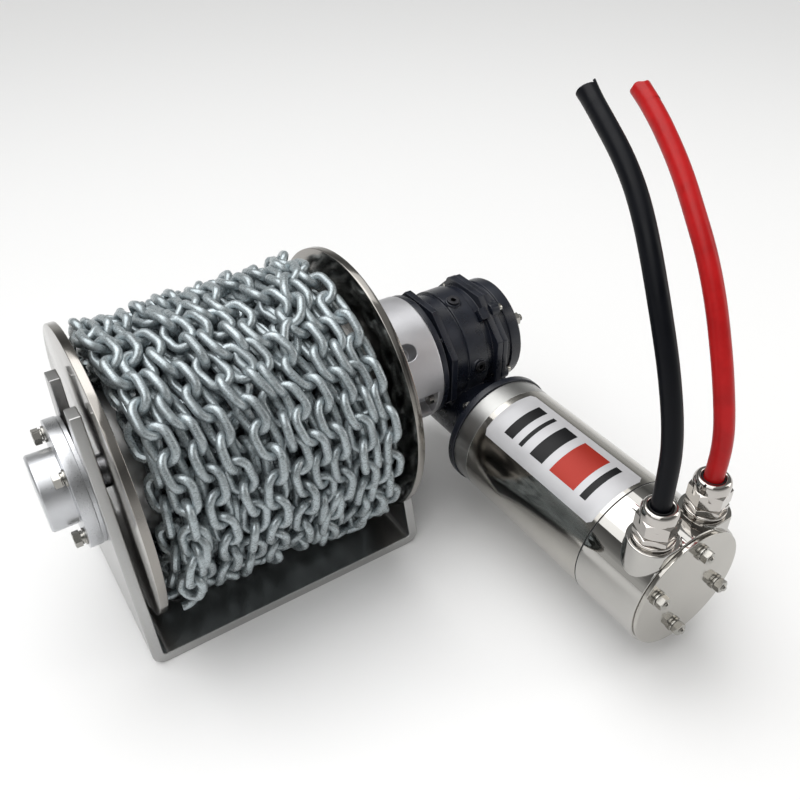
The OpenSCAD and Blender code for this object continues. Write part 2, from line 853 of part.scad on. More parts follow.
module cable(route) {
    n = len(route);
    across = [1, 0, 0];
    points = [for (i = [0:n - 1]) let (
        t = i == 0 ? [0, 0, 1] : tangent(route, i),
        u = unit(cross(t, across)),
        v = cross(t, u)
    ) each [for (k = [0:cable_sides - 1]) let (a = 360 * k / cable_sides)
        route[i] + cable_d / 2 * (cos(a) * u + sin(a) * v)]];
    s = cable_sides;
    walls = [for (i = [0:n - 2], k = [0:s - 1])
        [i * s + k, i * s + (k + 1) % s, (i + 1) * s + (k + 1) % s, (i + 1) * s + k]];
    ends = [[for (k = [s - 1:-1:0]) k], [for (k = [0:s - 1]) (n - 1) * s + k]];
    polyhedron(points, concat(walls, ends), convexity = 4);
}

module cable_black() {
    color([0.05, 0.05, 0.06]) cable(black_route);
}

module cable_red() {
    color([0.75, 0.1, 0.08]) cable(red_route);
}

// ---------------------------------------------------------------- drum

module drum_tube() {
    color("lightsteelblue") on_drum_axis(-flange_in) tube(tube_r, tube_r - 4, drum_w);
}

module drum_flange() {
    tube(flange_r, shaft_r + fit, flange_t);
}

module drum_flange_left() {
    color("silver") on_drum_axis(-flange_out) drum_flange();
}

module drum_flange_right() {
    color("silver") on_drum_axis(flange_in) drum_flange();
}

module drum_hubs() {
    color("gray") for (x = [-flange_in, flange_in - hub_t]) on_drum_axis(x) difference() {
        cylinder(r = hub_r, h = hub_t);
        translate([0, 0, -eps]) cylinder(r = shaft_r + fit, h = hub_t + 2 * eps);
        translate([-key_w / 2 - fit, shaft_r - 2, -eps])
            cube([key_w + 2 * fit, 5.5, hub_t + 2 * eps]);
    }
}

module main_shaft() {
    color("silver") on_drum_axis(drum_bearing_x - 1) difference() {
        cylinder(r = shaft_r, h = 374);
        // keyways under the two drum hubs and the worm wheel
        for (x = key_places) translate([-key_w / 2, shaft_r - key_depth, x[0] - drum_bearing_x + 1])
            cube([key_w, 10, x[1]]);
    }
}

module shaft_keys() {
    color("dimgray") for (x = key_places) on_drum_axis(x[0])
        translate([-key_w / 2 + fit, shaft_r - key_depth + fit, fit])
            cube([key_w - 2 * fit, 6.8, x[1] - 2 * fit]);
}

module chain_pack() {
    link_r = 9.4;
    span = drum_w - 2 * link_r - 1;
    color("lightslategray") on_drum_axis(0) rotate_extrude() {
        translate([tube_r + fit, -drum_w / 2 + 0.5])
            square([chain_r - link_r - tube_r - fit, drum_w - 1]);
        for (k = [0:wraps - 1])
            translate([chain_r - link_r, -span / 2 + span * k / (wraps - 1)])
                circle(r = link_r);
    }
}

// ---------------------------------------------------------------- assembly

u_frame();
backing_ring();
bearing_housing();
housing_bolts();
housing_spring_washers();
housing_washers();
drum_bearing_outer_race();
drum_bearing_balls();
drum_shaft_seal();
gearbox_adapter();
adapter_bolts();
gearbox_housing();
gearbox_cover();
gearbox_studs();
gearbox_nuts();
cover_screws();
oil_plugs();
wheel_bearing_outer_races();
wheel_bearing_balls();
output_seal();
worm_end_cap();
worm_bearing_outer_races();
worm_bearing_balls();
motor_flange();
flange_bolts();
motor_ring();
motor_tube();
magnets();
motor_bearing_outer_races();
motor_bearing_balls();
brush_plate();
brushes();
end_cover();
end_plate();
end_studs();
end_nuts();
end_washers();
gland_bodies();
gland_nuts();
gland_seals();
cable_black();
cable_red();
drum_tube();
drum_flange_left();
drum_flange_right();
drum_hubs();
main_shaft();
shaft_keys();
chain_pack();
drum_bearing_inner_race();
worm_wheel();
wheel_bearing_inner_races();
worm_shaft();
worm_bearing_inner_races();
drive_coupling();
motor_shaft();
armature_core();
armature_windings();
commutator();
motor_bearing_inner_races();
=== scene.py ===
"""Looks of the drum anchor winch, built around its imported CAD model."""

import json
import math
import random

import bmesh
import bpy
from mathutils import Matrix, Vector


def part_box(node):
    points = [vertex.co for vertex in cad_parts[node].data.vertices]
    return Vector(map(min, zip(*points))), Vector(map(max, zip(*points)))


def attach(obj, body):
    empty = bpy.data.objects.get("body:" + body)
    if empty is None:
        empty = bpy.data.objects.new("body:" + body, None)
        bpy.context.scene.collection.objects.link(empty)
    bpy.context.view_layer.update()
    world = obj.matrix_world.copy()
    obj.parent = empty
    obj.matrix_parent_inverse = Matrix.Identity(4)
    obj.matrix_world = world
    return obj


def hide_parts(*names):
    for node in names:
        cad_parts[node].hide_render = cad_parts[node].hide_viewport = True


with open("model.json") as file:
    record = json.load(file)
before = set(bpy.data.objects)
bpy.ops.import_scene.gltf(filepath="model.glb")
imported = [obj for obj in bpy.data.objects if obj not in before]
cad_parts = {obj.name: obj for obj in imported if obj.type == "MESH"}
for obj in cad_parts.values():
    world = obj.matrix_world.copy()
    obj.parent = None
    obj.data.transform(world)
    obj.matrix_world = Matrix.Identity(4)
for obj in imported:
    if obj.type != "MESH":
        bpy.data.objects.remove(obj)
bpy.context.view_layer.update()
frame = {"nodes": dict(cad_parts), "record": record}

MM = 0.001
scene = bpy.context.scene


def linked(name, data):
    """A new object in the scene that shows data."""
    made = bpy.data.objects.new(name, data)
    scene.collection.objects.link(made)
    return made


# ---------------------------------------------------------------- places from the frame


def centre(node):
    low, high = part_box(node)
    return (low + high) / 2


def half_size(node):
    low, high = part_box(node)
    return (high - low) / 2


def extent(node, axis):
    """The lowest and the highest place of a node along "x", "y" or "z"."""
    low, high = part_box(node)
    return getattr(low, axis), getattr(high, axis)


drum_axis = Vector((0, 0, centre("main_shaft").z))
motor_axis = Vector((centre("motor_tube").x, 0, centre("motor_tube").z))
flange_radius = half_size("drum_flange_left").z
drum_inner, _ = extent("drum_flange_right", "x")
motor_radius = half_size("motor_tube").x


def axis_frame(origin, axis, start=None):
    """A matrix that takes local Z to axis, and local X to start where that is given."""
    z = Vector(axis).normalized()
    x = Vector(start) if start else z.orthogonal()
    x = (x - z * x.dot(z)).normalized()
    return Matrix.Translation(origin) @ Matrix((x, z.cross(x), z)).transposed().to_4x4()


def drum_frame(x):
    """Local Z along +X from the plane at x, with angles from +Y towards +Z."""
    return axis_frame(drum_axis + Vector((x, 0, 0)), (1, 0, 0), (0, 1, 0))


def motor_frame(y):
    """Local Z along -Y from the plane at y, with angles from +X towards +Z."""
    return axis_frame(motor_axis + Vector((0, y, 0)), (0, -1, 0), (1, 0, 0))


# ---------------------------------------------------------------- camera and light


def make_camera():
    """The camera at the photograph's viewing angle."""
    eye = Vector((-0.1562, -0.4844, 0.5168))
    forward = Vector((0.4271, 0.6724, -0.6045)).normalized()
    roll = -0.0124  # radians
    level = forward.cross(Vector((0, 0, 1))).normalized()
    right = level * math.cos(roll) + level.cross(forward) * math.sin(roll)
    data = bpy.data.cameras.new("camera")
    data.lens, data.sensor_width = 36.98, 36  # millimetres
    data.clip_start, data.clip_end = 0.01, 50
    camera = linked("camera", data)
    turn = Matrix((right, right.cross(forward), -forward)).transposed()
    camera.matrix_world = Matrix.Translation(eye) @ turn.to_4x4()
    scene.camera = camera


def softbox(name, place, aim, width, height, power, colour=(1, 1, 1)):
    """A rectangular light at place that faces aim."""
    data = bpy.data.lights.new(name, "AREA")
    data.shape, data.size, data.size_y = "RECTANGLE", width, height
    data.energy, data.color = power, colour
    light = linked(name, data)
    light.location = place
    light.rotation_mode = "QUATERNION"
    light.rotation_quaternion = (Vector(aim) - Vector(place)).to_track_quat("-Z", "Y")


def make_lights():
    """Three softboxes, an overcast sun, and a studio whose tone changes with height."""
    middle = (0.06, -0.08, 0.1)
    softbox("key", (-1.0, -0.6, 1.5), middle, 1.5, 1.5, 10)
    softbox("top", (0.1, 0.5, 1.7), middle, 2.0, 1.0, 9)
    softbox("side", (1.5, -0.9, 0.8), middle, 0.6, 1.2, 5, (1, 0.97, 0.93))
    data = bpy.data.lights.new("overcast", "SUN")
    data.energy, data.angle = 1.75, math.radians(70)
    linked("overcast", data).rotation_euler = (math.radians(-14), math.radians(-16), 0)
    world = bpy.data.worlds.new("studio")
    world.use_nodes = True
    nodes, links = world.node_tree.nodes, world.node_tree.links
    place = nodes.new("ShaderNodeTexCoord")
    split = nodes.new("ShaderNodeSeparateXYZ")
    ramp = nodes.new("ShaderNodeValToRGB")
    links.new(place.outputs["Generated"], split.inputs[0])
    links.new(split.outputs["Z"], ramp.inputs[0])
    # the height of a direction, from 0 at the horizon to 1 overhead, and the tone there
    stops = ((0.0, 0.80), (0.12, 0.75), (0.3, 0.30), (0.55, 0.14), (0.8, 0.45))
    while len(ramp.color_ramp.elements) < len(stops):
        ramp.color_ramp.elements.new(1)
    for element, (at, tone) in zip(ramp.color_ramp.elements, stops):
        element.position, element.color = at, (tone, tone, tone * 0.98, 1)
    background = nodes["Background"]
    links.new(ramp.outputs[0], background.inputs["Color"])
    background.inputs["Strength"].default_value = 0.8
    scene.world = world
    scene.view_settings.view_transform = "Standard"


# ---------------------------------------------------------------- material nodes


class Surface:
    """A Principled material, with short calls for the nodes that the finishes share."""

    def __init__(self, name, colour, metallic, roughness, **sockets):
        self.material = bpy.data.materials.new(name)
        self.material.use_nodes = True
        self.tree = self.material.node_tree
        self.shader = self.tree.nodes["Principled BSDF"]
        self.place = self.tree.nodes.new("ShaderNodeTexCoord").outputs["Object"]
        self.set("Base Color", (*colour, 1))
        self.set("Metallic", metallic)
        self.set("Roughness", roughness)
        for socket, value in sockets.items():
            self.set(socket.replace("_", " "), value)

    def set(self, socket, value):
        if isinstance(value, bpy.types.NodeSocket):
            self.tree.links.new(value, self.shader.inputs[socket])
        else:
            self.shader.inputs[socket].default_value = value

    def node(self, kind, inputs=(), **settings):
        made = self.tree.nodes.new("ShaderNode" + kind)
        for key, value in settings.items():
            setattr(made, key, value)
        for key, value in dict(inputs).items():
            if isinstance(value, bpy.types.NodeSocket):
                self.tree.links.new(value, made.inputs[key])
            else:
                made.inputs[key].default_value = value
        return made

    def noise(self, scale, detail=3, rough=0.5, stretch=(1, 1, 1)):
        """Noise with features of about 1/scale metres, drawn out by stretch."""
        place = self.place
        if tuple(stretch) != (1, 1, 1):
            place = self.node("Mapping", {"Vector": place, "Scale": stretch}).outputs[0]
        made = self.node(
            "TexNoise", {"Vector": place, "Scale": scale, "Detail": detail, "Roughness": rough}
        )
        return made.outputs[0]

    def span(self, value, low, high, start=0.3, end=0.7):
        """value from start to end, spread over low to high."""
        keys = {"Value": value, "From Min": start, "From Max": end, "To Min": low, "To Max": high}
        return self.node("MapRange", keys).outputs[0]

    def maths(self, operation, a, b):
        return self.node("Math", {0: a, 1: b}, operation=operation).outputs[0]

    def blend(self, factor, dark, light):
        made = self.node("Mix", data_type="RGBA")
        self.tree.links.new(factor, made.inputs[0])
        for index, value in ((6, dark), (7, light)):
            if isinstance(value, bpy.types.NodeSocket):
                self.tree.links.new(value, made.inputs[index])
            else:
                made.inputs[index].default_value = (*value, 1)
        return made.outputs[2]

    def bump(self, height, depth, strength=1.0):
        """depth is in metres."""
        keys = {"Height": height, "Distance": depth, "Strength": strength}
        self.set("Normal", self.node("Bump", keys).outputs[0])


def shade(colour, factor):
    return tuple(c * factor for c in colour)


def polished(name, colour, low, high, scratch=0.02):
    """Mirror polish with hazy smudges and hairline scratches."""
    s = Surface(name, colour, 1, low)
    smudge = s.noise(26, 4, 0.6)
    hair = s.noise(30, 2, 0.5, (1, 14, 60))
    s.set("Base Color", s.blend(s.span(smudge, 0, 1), shade(colour, 0.93), colour))
    marks = s.maths("MULTIPLY", s.span(hair, 0, 1, 0.62, 0.75), scratch)
    s.set("Roughness", s.maths("ADD", s.span(smudge, low, high), marks))
    s.bump(hair, 4e-6, 0.12)
    return s.material


def brushed(name, colour, low, high, stretch, depth=6e-6):
    """Brushed metal, with streaks along the axis that stretch leaves short."""
    s = Surface(name, colour, 1, low)
    streak = s.noise(70, 4, 0.6, stretch)
    cloud = s.noise(14, 3, 0.5)
    uneven = s.maths("ADD", streak, cloud)
    s.set("Base Color", s.blend(s.span(uneven, 0, 1, 0.6, 1.4), shade(colour, 0.9), colour))
    s.set("Roughness", s.span(uneven, low, high, 0.6, 1.4))
    s.bump(streak, depth, 0.3)
    return s.material


def satin(name, colour, low, high, grain=1500, depth=1.2e-5, metallic=1.0):
    """Blasted, turned or cast metal with an even fine grain."""
    s = Surface(name, colour, metallic, low)
    fine = s.noise(grain, 2, 0.6)
    cloud = s.noise(30, 4, 0.55)
    s.set("Base Color", s.blend(s.span(cloud, 0, 1), shade(colour, 0.88), colour))
    s.set("Roughness", s.span(s.maths("MULTIPLY", fine, cloud), low, high, 0.15, 0.35))
    s.bump(fine, depth, 0.4)
    return s.material


def galvanised(name, colour):
    """Hot-dip zinc: dull blue-grey bloom over brighter metal, small spangles and runs."""
    s = Surface(name, colour, 0.6, 0.45)
    bloom = s.noise(150, 5, 0.65)
    fleck = s.noise(600, 3, 0.7)
    stain = s.noise(45, 3, 0.5)
    body = s.blend(s.span(bloom, 0, 1, 0.36, 0.60), shade(colour, 0.78), colour)
    worn = s.blend(s.span(fleck, 0, 0.5, 0.56, 0.70), body, shade(colour, 1.4))
    s.set("Base Color", s.blend(s.span(stain, 0, 0.5, 0.52, 0.74), worn, shade(colour, 0.5)))
    s.set("Metallic", s.span(bloom, 0.4, 0.75))
    s.set("Roughness", s.span(s.maths("MULTIPLY", bloom, fleck), 0.20, 0.40, 0.15, 0.36))
    s.bump(s.maths("ADD", s.maths("MULTIPLY", bloom, 2.0), fleck), 1.1e-4, 0.5)
    return s.material


def enamel(name, colour, low, high):
    """Semi-gloss paint over a casting, with dust in its hollows and rubbed spots."""
    s = Surface(name, colour, 0, low, Specular_IOR_Level=0.46)
    peel = s.noise(420, 3, 0.55)
    cloud = s.noise(45, 4, 0.6)
    dust = s.noise(700, 4, 0.7)
    tone = s.blend(s.span(cloud, 0, 1), colour, shade(colour, 2.2))
    s.set("Base Color", s.blend(s.span(dust, 0, 0.25, 0.62, 0.75), tone, (0.13, 0.13, 0.135)))
    s.set("Roughness", s.span(cloud, low, high))
    s.bump(peel, 5e-5, 0.3)
    return s.material


def jacket(name, colour, low, high, gloss=0.2):
    """Extruded cable jacket or rubber, with a faint lengthwise draw and rub marks."""
    s = Surface(name, colour, 0, low, Specular_IOR_Level=gloss)
    draw = s.noise(300, 2, 0.5, (1, 1, 0.05))
    rub = s.noise(60, 4, 0.6)
    s.set("Base Color", s.blend(s.span(rub, 0, 1), colour, shade(colour, 1.35)))
    s.set("Roughness", s.span(rub, low, high))
    s.bump(draw, 3e-5, 0.3)
    return s.material


# how closely noise is packed along each axis, so that brushing runs one way
ALONG_Y = (16, 1, 16)
AROUND_X, AROUND_Y = (30, 2, 2), (2, 30, 2)
FINISHES = {
    "brushed_stainless": lambda n: brushed(n, (0.47, 0.47, 0.465), 0.27, 0.36, ALONG_Y, 3e-6),
    "polished_flange": lambda n: polished(n, (0.31, 0.295, 0.275), 0.09, 0.20, 0.08),
    "polished_stainless": lambda n: polished(n, (0.47, 0.46, 0.44), 0.025, 0.06),
    "satin_stainless": lambda n: polished(n, (0.45, 0.435, 0.405), 0.08, 0.16, 0.06),
    "satin_grey_metal": lambda n: brushed(n, (0.44, 0.44, 0.43), 0.28, 0.42, AROUND_Y),
    "satin_aluminium": lambda n: satin(n, (0.58, 0.59, 0.61), 0.26, 0.40),
    "cast_aluminium": lambda n: satin(n, (0.60, 0.60, 0.62), 0.42, 0.56, 900, 2.5e-5),
    "black_paint": lambda n: enamel(n, (0.005, 0.0063, 0.0107), 0.22, 0.36),
    "dark_plug": lambda n: satin(n, (0.05, 0.05, 0.055), 0.28, 0.45),
    "stainless_fastener": lambda n: polished(n, (0.38, 0.37, 0.345), 0.12, 0.26, 0.1),
    "nickel_plate": lambda n: polished(n, (0.52, 0.495, 0.47), 0.05, 0.13, 0.05),
    "galvanised_chain": lambda n: galvanised(n, (0.40, 0.45, 0.47)),
    "bearing_steel": lambda n: polished(n, (0.24, 0.24, 0.25), 0.16, 0.3),
    "ground_steel": lambda n: brushed(n, (0.52, 0.52, 0.54), 0.18, 0.3, AROUND_Y),
    "bronze": lambda n: brushed(n, (0.62, 0.40, 0.18), 0.22, 0.36, AROUND_X),
    "laminations": lambda n: brushed(n, (0.20, 0.20, 0.22), 0.35, 0.5, AROUND_Y, 2e-5),
    "enamelled_copper": lambda n: satin(n, (0.48, 0.20, 0.08), 0.25, 0.4, 600, 6e-5),
    "copper_bars": lambda n: brushed(n, (0.66, 0.36, 0.22), 0.2, 0.34, AROUND_Y),
    "ferrite": lambda n: satin(n, (0.08, 0.08, 0.085), 0.45, 0.6, 1200, 2e-5, 0.2),
    "phenolic": lambda n: satin(n, (0.22, 0.12, 0.06), 0.4, 0.55, 800, 2e-5, 0),
    "carbon": lambda n: satin(n, (0.03, 0.03, 0.03), 0.45, 0.6, 1200, 2e-5, 0.1),
    "black_rubber": lambda n: jacket(n, (0.012, 0.012, 0.013), 0.5, 0.7),
    "black_pvc": lambda n: jacket(n, (0.0016, 0.002, 0.0036), 0.34, 0.48, 0.13),
    "red_pvc": lambda n: jacket(n, (0.37, 0.007, 0.008), 0.28, 0.42),
}
made_finishes = {}


def finish(slot):
    """The material of a slot, made at its first use."""
    if slot not in made_finishes:
        made_finishes[slot] = FINISHES[slot](slot)
    return made_finishes[slot]


def dress_nodes():
    """Every CAD node gets the finish of its slot."""
    for part in frame["record"]["subparts"]:
        mesh = frame["nodes"][part["node"]].data
        mesh.materials.clear()
        mesh.materials.append(finish(part["material_slot"]))


# ---------------------------------------------------------------- pieces


def smooth_object(name, mesh, material):
    """A smoothly shaded object with one material."""
    made = linked(name, mesh)
    mesh.materials.append(material)
    mesh.polygons.foreach_set("use_smooth", [True] * len(mesh.polygons))
    return made


def add_piece(name, mesh, body, slot, stands_for=()):
    """Links a mesh as a piece that rides on body, in slot's finish."""
    piece = smooth_object(name, mesh, finish(slot))
    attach(piece, body)
    if stands_for:
        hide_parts(*stands_for)
    return piece


class Shape:
    """Vertices and faces, gathered from parts that are placed by matrices."""

    def __init__(self):
        self.points, self.faces = [], []

    def add(self, points, faces, place):
        start = len(self.points)
        self.points += [place @ Vector(p) for p in points]
        self.faces += [[start + i for i in face] for face in faces]

    def mesh(self, name, sharp=35):
        """The gathered mesh, welded, with edges over sharp degrees left crisp."""
        weld = 1e-7  # metres
        made = bpy.data.meshes.new(name)
        made.from_pydata([tuple(p) for p in self.points], [], self.faces)
        work = bmesh.new()
        work.from_mesh(made)
        bmesh.ops.remove_doubles(work, verts=work.verts, dist=weld)
        bmesh.ops.dissolve_degenerate(work, edges=work.edges, dist=weld)
        bmesh.ops.recalc_face_normals(work, faces=work.faces)
        work.to_mesh(made)
        work.free()
        made.set_sharp_from_angle(angle=math.radians(sharp))
        return made


def placed(part, place):
    """A shape with one part, points and faces, in it."""
    shape = Shape()
    shape.add(*part, place)
    return shape


def grid_faces(rows, columns, closed_rows, closed_columns):
    """Quads over rows of points, wrapped where closed."""
    return [
        (i * columns + j, i * columns + (j + 1) % columns,
         (i + 1) % rows * columns + (j + 1) % columns, (i + 1) % rows * columns + j)
        for i in range(rows - (not closed_rows))
        for j in range(columns - (not closed_columns))
    ]


def swept(path, radii, sides, closed):
    """Points and faces of a round rod along path, kept from twisting."""
    rings, normal = [], None
    count = len(path)
    for i, point in enumerate(path):
        after = path[(i + 1) % count] if closed or i + 1 < count else point
        before = path[i - 1] if closed or i else point
        along = (after - before).normalized()
        normal = normal - along * normal.dot(along) if normal else along.orthogonal()
        normal.normalize()
        across = along.cross(normal)
        for k in range(sides):
            a = 2 * math.pi * k / sides
            rings.append(point + radii[i] * (normal * math.cos(a) + across * math.sin(a)))
    faces = grid_faces(count, sides, closed, True)
    if not closed:
        last = (count - 1) * sides
        faces += [tuple(range(sides))[::-1], tuple(range(last, last + sides))]
    return rings, faces


def turned(profile, steps=64):
    """Points and faces of a closed (radius, height) outline turned about local Z."""
    points = []
    for k in range(steps):
        a = 2 * math.pi * k / steps
        points += [(r * math.cos(a), r * math.sin(a), z) for r, z in profile]
    return points, grid_faces(steps, len(profile), True, True)


def softened(outline, radius, steps=3):
    """A closed outline with each corner replaced by an arc of about radius."""
    made = []
    for i, corner in enumerate(outline):
        here = Vector(corner)
        before = Vector(outline[i - 1]) - here
        after = Vector(outline[(i + 1) % len(outline)]) - here
        reach = min(radius, before.length * 0.45, after.length * 0.45)
        start, end = here + before.normalized() * reach, here + after.normalized() * reach
        for k in range(steps + 1):
            t = k / steps
            made.append(tuple(start * (1 - t) ** 2 + here * 2 * t * (1 - t) + end * t * t))
    return made


def hexagonal(flats, low, high, bore, chamfer_low=True):
    """A nut or bolt head between two heights, its ends chamfered to a circle."""
    half, slope = flats / 2, math.tan(math.radians(30))
    rim, steps = 0.96 * half, 48
    points = []
    for k in range(steps):
        a = 2 * math.pi * k / steps
        corner = half / math.cos(a % (math.pi / 3) - math.pi / 6)
        drop = (corner - rim) * slope
        lift = drop if chamfer_low else 0
        column = ((bore, low), (rim, low), (corner, low + lift),
                  (corner, high - drop), (rim, high), (bore, high))
        points += [(r * math.cos(a), r * math.sin(a), z) for r, z in column]
    return points, grid_faces(steps, 6, True, True)


def threaded(radius, low, high, pitch=0.9 * MM):
    """A stud's thread as close rings, with a chamfered tip at its high end."""
    core = radius - 0.35 * MM
    profile = [(0, low)]
    rings = int((high - low) / pitch)
    for k in range(rings):
        z = low + k * pitch
        profile += [(core, z), (radius, z + pitch * 0.35), (radius, z + pitch * 0.5)]
    profile += [(core * 0.8, high), (0, high)]
    return turned(profile, 24)


def washer(outer, bore, low, high):
    section = [(bore, low), (outer, low), (outer, high), (bore, high)]
    return turned(softened(section, 0.25 * MM, 2), 40)


def spring_washer(outer, bore, low, high):
    """A split ring, with its two ends sprung apart."""
    middle, wire = (outer + bore) / 2, (outer - bore) / 2
    path, steps = [], 30
    for k in range(steps + 1):
        a = math.radians(8 + 344 * k / steps)
        z = low + (high - low) * (0.3 + 0.4 * k / steps)
        path.append(Vector((middle * math.cos(a), middle * math.sin(a), z)))
    return swept(path, [wire] * len(path), 4, False)


def welded(node):
    """A CAD node's mesh for editing, with the vertices that its faces share joined."""
    work = bmesh.new()
    work.from_mesh(frame["nodes"][node].data)
    bmesh.ops.remove_doubles(work, verts=work.verts, dist=2e-6)
    return work


def solid_centres(node):
    """The middle of each separate solid that a CAD node holds."""
    work = welded(node)
    for vert in work.verts:
        vert.tag = False
    centres = []
    for seed in work.verts:
        if seed.tag:
            continue
        seed.tag, queue, found = True, [seed], []
        while queue:
            vert = queue.pop()
            found.append(vert.co.copy())
            for edge in vert.link_edges:
                other = edge.other_vert(vert)
                if not other.tag:
                    other.tag = True
                    queue.append(other)
        centres.append(Vector((min(p[k] for p in found) + max(p[k] for p in found)) / 2
                              for k in range(3)))
    work.free()
    return centres


def arrayed(parts, frame_matrix, node):
    """A shape with the parts at each solid of a CAD node, turned with it about the frame's Z."""
    shape, inverse = Shape(), frame_matrix.inverted()
    for middle in solid_centres(node):
        x, y, _ = inverse @ middle
        turn = Matrix.Rotation(math.atan2(y, x), 4, "Z")
        place = frame_matrix @ turn @ Matrix.Translation((math.hypot(x, y), 0, 0))
        for points, faces in parts:
            shape.add(points, faces, place)
    return shape


BODY_OF = {
    node: body
    for body, nodes in frame["record"]["behaviour"]["bodies"].items()
    for node in nodes
}
SLOT_OF = {part["node"]: part["material_slot"] for part in frame["record"]["subparts"]}


def piece_for(node, name, mesh):
    """Adds a detailed piece in place of a CAD node, on its body and in its finish."""
    return add_piece(name, mesh, BODY_OF[node], SLOT_OF[node], (node,))


def rounded_off(node, name, width):
    """The node's own solid with its crisp edges rounded by width."""
    flat = math.radians(0.4)  # faces that meet at less are one face
    least = math.radians(28)  # faces that meet at more meet in a crisp edge
    work = welded(node)
    bmesh.ops.dissolve_limit(work, angle_limit=flat, verts=work.verts, edges=work.edges)
    crisp = [
        e for e in work.edges
        if len(e.link_faces) == 2 and e.calc_face_angle(0) > least
    ]
    bmesh.ops.bevel(
        work, geom=crisp, offset=width, offset_type="OFFSET", segments=2, profile=0.6,
        affect="EDGES", clamp_overlap=False,
    )
    mesh = bpy.data.meshes.new(name)
    work.to_mesh(mesh)
    work.free()
    mesh.set_sharp_from_angle(angle=math.radians(50))
    piece_for(node, name, mesh).modifiers.new("normals", "WEIGHTED_NORMAL").keep_sharp = True


# ---------------------------------------------------------------- chain

# Angles round the drum are in degrees, from its back over its top to its front.

ROD = 3.15 * MM  # radius of the links' rod, with its zinc
LINK_PITCH = 18.5 * MM  # from one link's middle to the next
LINK_WIDTH = 22.0 * MM
CLOSED_UP = 0.985  # part of the pitch that is left where the chain is wound tight


def link_path(steps):
    """Centre line of one link: long along X, flat in XY."""
    bend = LINK_WIDTH / 2 - ROD
    straight = (LINK_PITCH + 2 * ROD) / 2 - bend
    path = []
    for side in (1, -1):
        for k in range(steps + 1):
            a = math.pi / 2 * side - math.pi * k / steps
            path.append(Vector((side * straight + bend * math.cos(a), bend * math.sin(a), 0)))
    return path


def link_shape(steps, sides):
    path = link_path(steps)
    return swept(path, [ROD] * len(path), sides, True)


def eased(t):
    """t from 0 to 1, with a soft start and end."""
    return t * t * (3 - 2 * t)


def wander(draw, count, every, reach):
    """count values that drift smoothly within reach, turning about each every values."""
    knots = [draw.uniform(-reach, reach) for _ in range(int(count / every) + 3)]
    values = []
    for i in range(count):
        k, t = divmod(i / every, 1)
        t = eased(t)
        values.append(knots[int(k)] * (1 - t) + knots[int(k) + 1] * t)
    return values


def hill(degrees, top, width):
    """A smooth rise round one angle, from 0 to 1."""
    away = (degrees - top + 180) % 360 - 180
    return math.exp(-((away / width) ** 2))


def slack(degrees, x):
    """How far the loose outer wraps stand off: they hang at the front's lower edge, and are
    heaped up at the top right."""
    below = 5 * MM * hill(degrees, 240, 26)
    heap = 4.5 * MM * hill(degrees, 90, 28) * max(0, min(1, (x + 5 * MM) / (60 * MM)))
    return below + heap


def across(degrees):
    """Which way the wraps have run across the drum, from -1 above it to 1 at its front."""
    top, swing = 75, 85  # where the run to the front starts, and how far round it goes
    away = (degrees - top) % 360
    t = away / swing if away < swing else 1 - (away - swing) / (360 - swing)
    return 2 * eased(t) - 1


def wind(draw, radius, turns, first, last, start, loose):
    """Places where the links of one layer meet, (degrees, radius, x), link by link."""
    count = int(turns * 2 * math.pi * radius / LINK_PITCH) + 1
    # drift and sway run along the drum, and lift stands off it
    drift = wander(draw, count, 9.0, 4.5 * MM * loose)
    sway = wander(draw, count, 2.0, 3.2 * MM * loose)
    lift = wander(draw, count, 1.7, 2.4 * MM * loose)
    degrees, joints = start, []
    for i in range(count):
        done = (degrees - start) / 360 / turns
        room = 4 * done * (1 - done)
        lean = 16 * MM * loose * across(degrees) * room
        middle = first + (last - first) * done
        x = middle + lean + drift[i] * room + sway[i] * min(1, 0.3 + room)
        joints.append((degrees, radius + lift[i] + loose * slack(degrees, x), x))
        degrees += math.degrees(LINK_PITCH * CLOSED_UP / radius)
    return joints


def spaced(route):
    """Places a link's pitch apart along a given route of (degrees, radius, x)."""
    places = [route[0]]
    for end in route[1:]:
        start = places[-1]
        gap = (at_joint(end) - at_joint(start)).length
        count = max(1, round(gap / LINK_PITCH))
        for k in range(1, count + 1):
            t = k / count
            places.append(tuple(a * (1 - t) + b * t for a, b in zip(start, end)))
    return places


def at_joint(joint):
    """The point in space of a place given as (degrees, radius, x)."""
    degrees, radius, x = joint
    a = math.radians(degrees)
    return drum_axis + Vector((x, radius * math.cos(a), radius * math.sin(a)))


def link_place(start, end, roll):
    """Where a link lies between two joints, with its flat side turned by roll from the drum."""
    a, b = at_joint(start), at_joint(end)
    middle = (a + b) / 2
    out = middle - drum_axis
    out.x = 0
    turn = Matrix.Rotation(roll, 4, "Z") @ Matrix.Rotation(math.pi / 2, 4, "Y")
    return axis_frame(middle, b - a, out) @ turn


def lay_links(name, joints, rolls, steps, sides):
    """Puts a link between each pair of joints, a quarter turned from the one before it.
    Each whole wrap becomes one piece."""
    points, faces = link_shape(steps, sides)
    wraps = {}
    for i in range(len(joints) - 1):
        wrap = int((joints[i][0] - joints[0][0]) / 360)
        place = link_place(joints[i], joints[i + 1], rolls[i] + math.pi / 2 * (i % 2))
        wraps.setdefault(wrap, Shape()).add(points, faces, place)
    made = []
    for wrap, shape in wraps.items():
        label = f"{name}_{wrap + 1:02d}"
        made.append(add_piece(label, shape.mesh(label), "drum", "galvanised_chain"))
    return made


def cut_link(start, end, roll):
    """The chain's last link, sheared through when the chain was cut to length."""
    open_path = link_path(9)[6:-5]
    hook = swept(open_path, [ROD] * len(open_path), 12, False)
    mesh = placed(hook, link_place(start, end, roll)).mesh("chain_cut_link")
    add_piece("chain_cut_link", mesh, "drum", "galvanised_chain")


